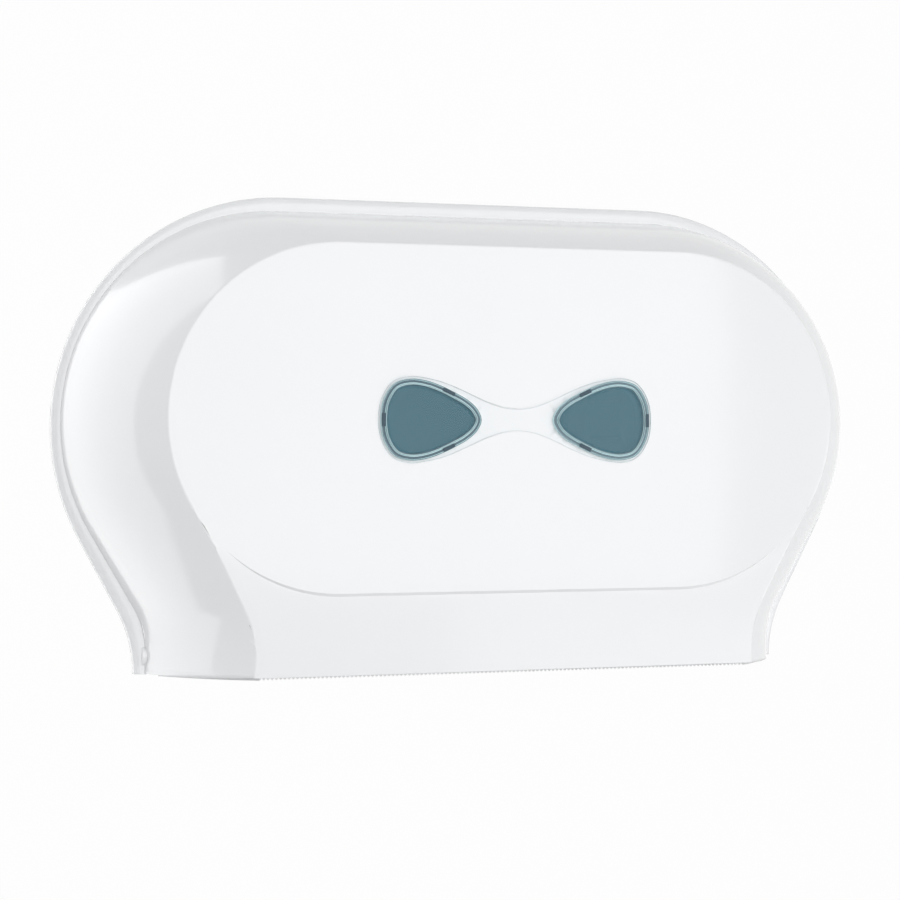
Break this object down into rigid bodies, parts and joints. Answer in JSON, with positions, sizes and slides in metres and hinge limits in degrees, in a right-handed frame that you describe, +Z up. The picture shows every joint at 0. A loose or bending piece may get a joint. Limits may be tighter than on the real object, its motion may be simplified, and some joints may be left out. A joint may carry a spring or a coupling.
{
  "type": "toilet paper dispenser",
  "caption": "Wall-hung toilet paper dispenser for two rolls side by side, with a hinged white cover, an ice-blue double window and a serrated tear edge",
  "frame": {"origin": "on the wall face, on the middle line, at the centre of the wall screw pattern", "axes": "X runs along the width and is the line of symmetry's normal, Y is the wall's normal, Z is up"},
  "size_m": [0.5, 0.1102, 0.279],
  "materials": {
    "white_plastic": "moulded ABS, high gloss",
    "window_clear": "clear ice-blue moulded styrene",
    "strip_plastic": "satin moulded plastic",
    "dark_plastic": "fine textured ABS",
    "hub_plastic": "satin moulded plastic",
    "latch_plastic": "satin acetal",
    "zinc_steel": "zinc plated",
    "felt": "pressed wool felt",
    "soft_rubber": "matt"
  },
  "bodies": {
    "base": {"base_pan": "dark_plastic", "spindle_post_left": "dark_plastic", "spindle_post_right": "dark_plastic", "post_screws": "zinc_steel", "brake_ring_left": "felt", "brake_ring_right": "felt", "spindle_washers": "zinc_steel", "spindle_screws": "zinc_steel", "hinge_pin_left": "zinc_steel", "hinge_pin_right": "zinc_steel", "latch_spring": "zinc_steel", "latch_housing": "dark_plastic", "latch_screws": "zinc_steel", "cover_buffers": "soft_rubber"},
    "cover": {"cover_shell": "white_plastic", "window_lens": "window_clear", "tear_strip": "strip_plastic", "strip_screws": "zinc_steel", "latch_strike": "zinc_steel", "strike_screws": "zinc_steel"},
    "latch": {"latch_slider": "latch_plastic"},
    "left_roll_hub": {"hub_left": "hub_plastic", "hub_cap_left": "hub_plastic"},
    "right_roll_hub": {"hub_right": "hub_plastic", "hub_cap_right": "hub_plastic"}
  },
  "joints": [
    {"name": "cover_hinge", "type": "hinge", "parent": "base", "child": "cover", "pos_m": [0, -0.017, -0.132], "axis": [1, 0, 0], "range_deg": [0, 95]},
    {"name": "latch_slide", "type": "slide", "parent": "base", "child": "latch", "axis": [0, 0, -1], "range_m": [0, 0.005], "stiffness_N_per_m": 400, "deforming": ["latch_spring"]},
    {"name": "left_hub_spin", "type": "hinge", "parent": "base", "child": "left_roll_hub", "pos_m": [-0.1016, -0.045, 0.0049], "axis": [0, -1, 0], "continuous": true},
    {"name": "right_hub_spin", "type": "hinge", "parent": "base", "child": "right_roll_hub", "pos_m": [0.1016, -0.045, 0.0049], "axis": [0, -1, 0], "continuous": true}
  ]
}
